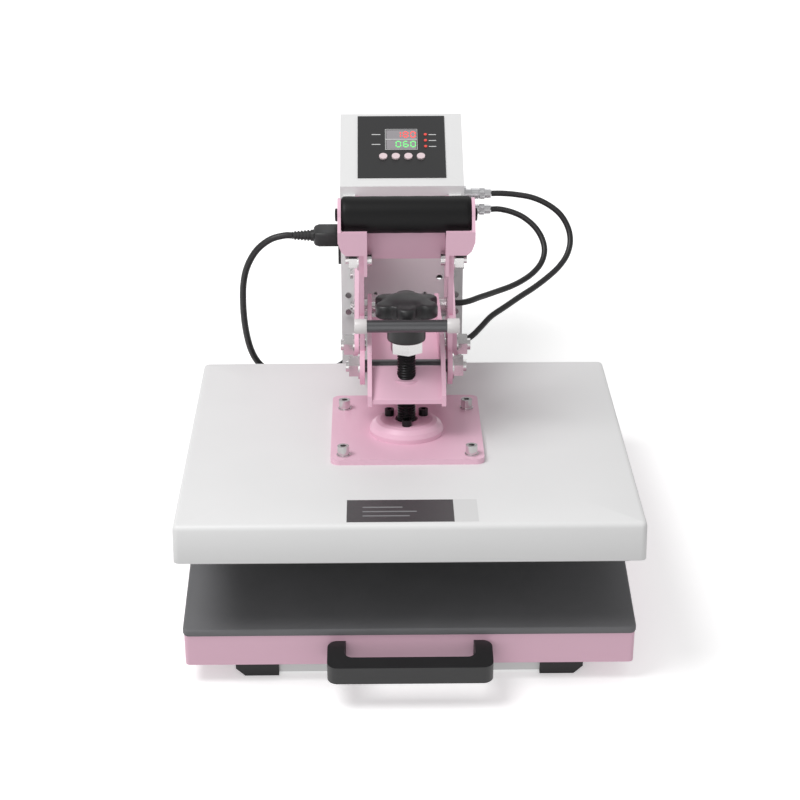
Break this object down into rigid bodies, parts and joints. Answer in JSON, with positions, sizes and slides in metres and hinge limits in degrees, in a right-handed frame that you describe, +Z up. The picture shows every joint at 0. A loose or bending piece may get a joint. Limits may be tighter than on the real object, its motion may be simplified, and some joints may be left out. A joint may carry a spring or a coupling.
{
  "type": "heat press",
  "caption": "Clamshell heat press with a slide-out padded lower platen, a lever-closed heated upper platen, a star pressure knob and a rear column with a digital control panel.",
  "frame": {"origin": "centre of the press's footprint on the table, cord left out", "axes": "+X to the operator's right, +Y from the operator to the rear column, +Z up"},
  "size_m": [0.4, 0.7515, 0.3585],
  "materials": {
    "white_paint": "white powder coat, fine satin texture",
    "pink_paint": "pale pink powder coat, satin",
    "foot_rubber": "black moulded foot",
    "zinc_rail": "zinc plated slide rail",
    "bright_steel": "bright zinc fasteners and shafts",
    "black_steel": "black oxide steel",
    "grey_steel": "turned grey steel",
    "panel_film": "dark grey overlay film",
    "display_glass": "dark tinted display lens",
    "led_plastic": "clear red lamp",
    "button_plastic": "pale moulded key cap",
    "board_green": "green circuit board",
    "relay_plastic": "ivory moulded electrical part",
    "black_plastic": "black moulded plastic, fine grain",
    "rocker_plastic": "red rocker",
    "connector_metal": "turned aluminium connector shell",
    "cable_rubber": "black cable jacket",
    "silicone": "charcoal silicone sponge",
    "insulation": "ceramic fibre board",
    "heater_cast": "coated cast aluminium",
    "foam": "black foam sleeve"
  },
  "bodies": {
    "frame": {"base_frame": "white_paint", "base_feet": "foot_rubber", "slide_outer_rails": "zinc_rail", "column_housing": "white_paint", "column_back_panel": "white_paint", "cheek_left": "pink_paint", "cheek_right": "pink_paint", "cheek_brackets": "white_paint", "cheek_bolts": "bright_steel", "housing_screws": "bright_steel", "hinge_shaft": "bright_steel", "hinge_bushes": "bright_steel", "hinge_clips": "bright_steel", "lever_pivot_bolts": "bright_steel", "control_panel": "panel_film", "display_window": "display_glass", "status_leds": "led_plastic", "circuit_board": "board_green", "solid_state_relay": "relay_plastic", "terminal_block": "relay_plastic", "power_inlet": "black_plastic", "switch_bezel": "black_plastic", "connector_sockets": "connector_metal", "connector_plugs": "connector_metal", "cable_grommets": "cable_rubber", "heater_cable": "cable_rubber", "sensor_cable": "cable_rubber", "mains_connector": "black_plastic", "mains_cord": "cable_rubber", "mains_coil": "cable_rubber", "mains_plug": "black_plastic"},
    "rocker": {"power_rocker": "rocker_plastic"},
    "key_set": {"button_set": "button_plastic"},
    "key_down": {"button_down": "button_plastic"},
    "key_up": {"button_up": "button_plastic"},
    "key_timer": {"button_timer": "button_plastic"},
    "drawer": {"drawer_tray": "pink_paint", "silicone_pad": "silicone", "slide_inner_rails": "zinc_rail", "drawer_handle": "black_plastic", "handle_screws": "black_steel"},
    "arm": {"arm_channel": "pink_paint", "platen_cover": "white_paint", "insulation_board": "insulation", "heater_plate": "heater_cast", "mounting_plate": "pink_paint", "plate_bolts": "bright_steel", "ball_joint_housing": "pink_paint", "ball_joint_screws": "black_steel"},
    "adjuster": {"adjuster_screw": "black_steel", "lock_nut": "bright_steel", "star_knob": "black_plastic"},
    "lever": {"lever_left": "pink_paint", "lever_right": "pink_paint", "cam_shaft": "grey_steel", "cam_shaft_nuts": "bright_steel", "grip_bracket": "pink_paint", "bracket_bolts": "bright_steel", "cross_bar": "grey_steel", "foam_grip": "foam"}
  },
  "joints": [
    {"name": "drawer_slide", "type": "slide", "parent": "frame", "child": "drawer", "axis": [0, -1, 0], "range_m": [0, 0.18]},
    {"name": "lever_hinge", "type": "hinge", "parent": "frame", "child": "lever", "pos_m": [0, -0.02, 0.194], "axis": [1, 0, 0], "range_deg": [0, 60]},
    {"name": "arm_hinge", "type": "hinge", "parent": "frame", "child": "arm", "pos_m": [0, 0.1365, 0.1478], "axis": [1, 0, 0], "range_deg": [0, 10]},
    {"name": "knob_turn", "type": "hinge", "parent": "arm", "child": "adjuster", "pos_m": [0, -0.07407, 0.21763], "axis": [0, 0.1736, 0.9848], "continuous": true},
    {"name": "rocker_tip", "type": "hinge", "parent": "frame", "child": "rocker", "pos_m": [0.06, 0.25, 0.146], "axis": [0, 0, 1], "range_deg": [0, 16]},
    {"name": "press_set", "type": "slide", "parent": "frame", "child": "key_set", "axis": [0, 0.309, -0.9511], "range_m": [0, 0.0008], "stiffness_N_per_m": 400},
    {"name": "press_down", "type": "slide", "parent": "frame", "child": "key_down", "axis": [0, 0.309, -0.9511], "range_m": [0, 0.0008], "stiffness_N_per_m": 400},
    {"name": "press_up", "type": "slide", "parent": "frame", "child": "key_up", "axis": [0, 0.309, -0.9511], "range_m": [0, 0.0008], "stiffness_N_per_m": 400},
    {"name": "press_timer", "type": "slide", "parent": "frame", "child": "key_timer", "axis": [0, 0.309, -0.9511], "range_m": [0, 0.0008], "stiffness_N_per_m": 400}
  ],
  "couplings": [
    {"joint": "arm_hinge", "follows": "lever_hinge", "ratio": 0.16667}
  ]
}
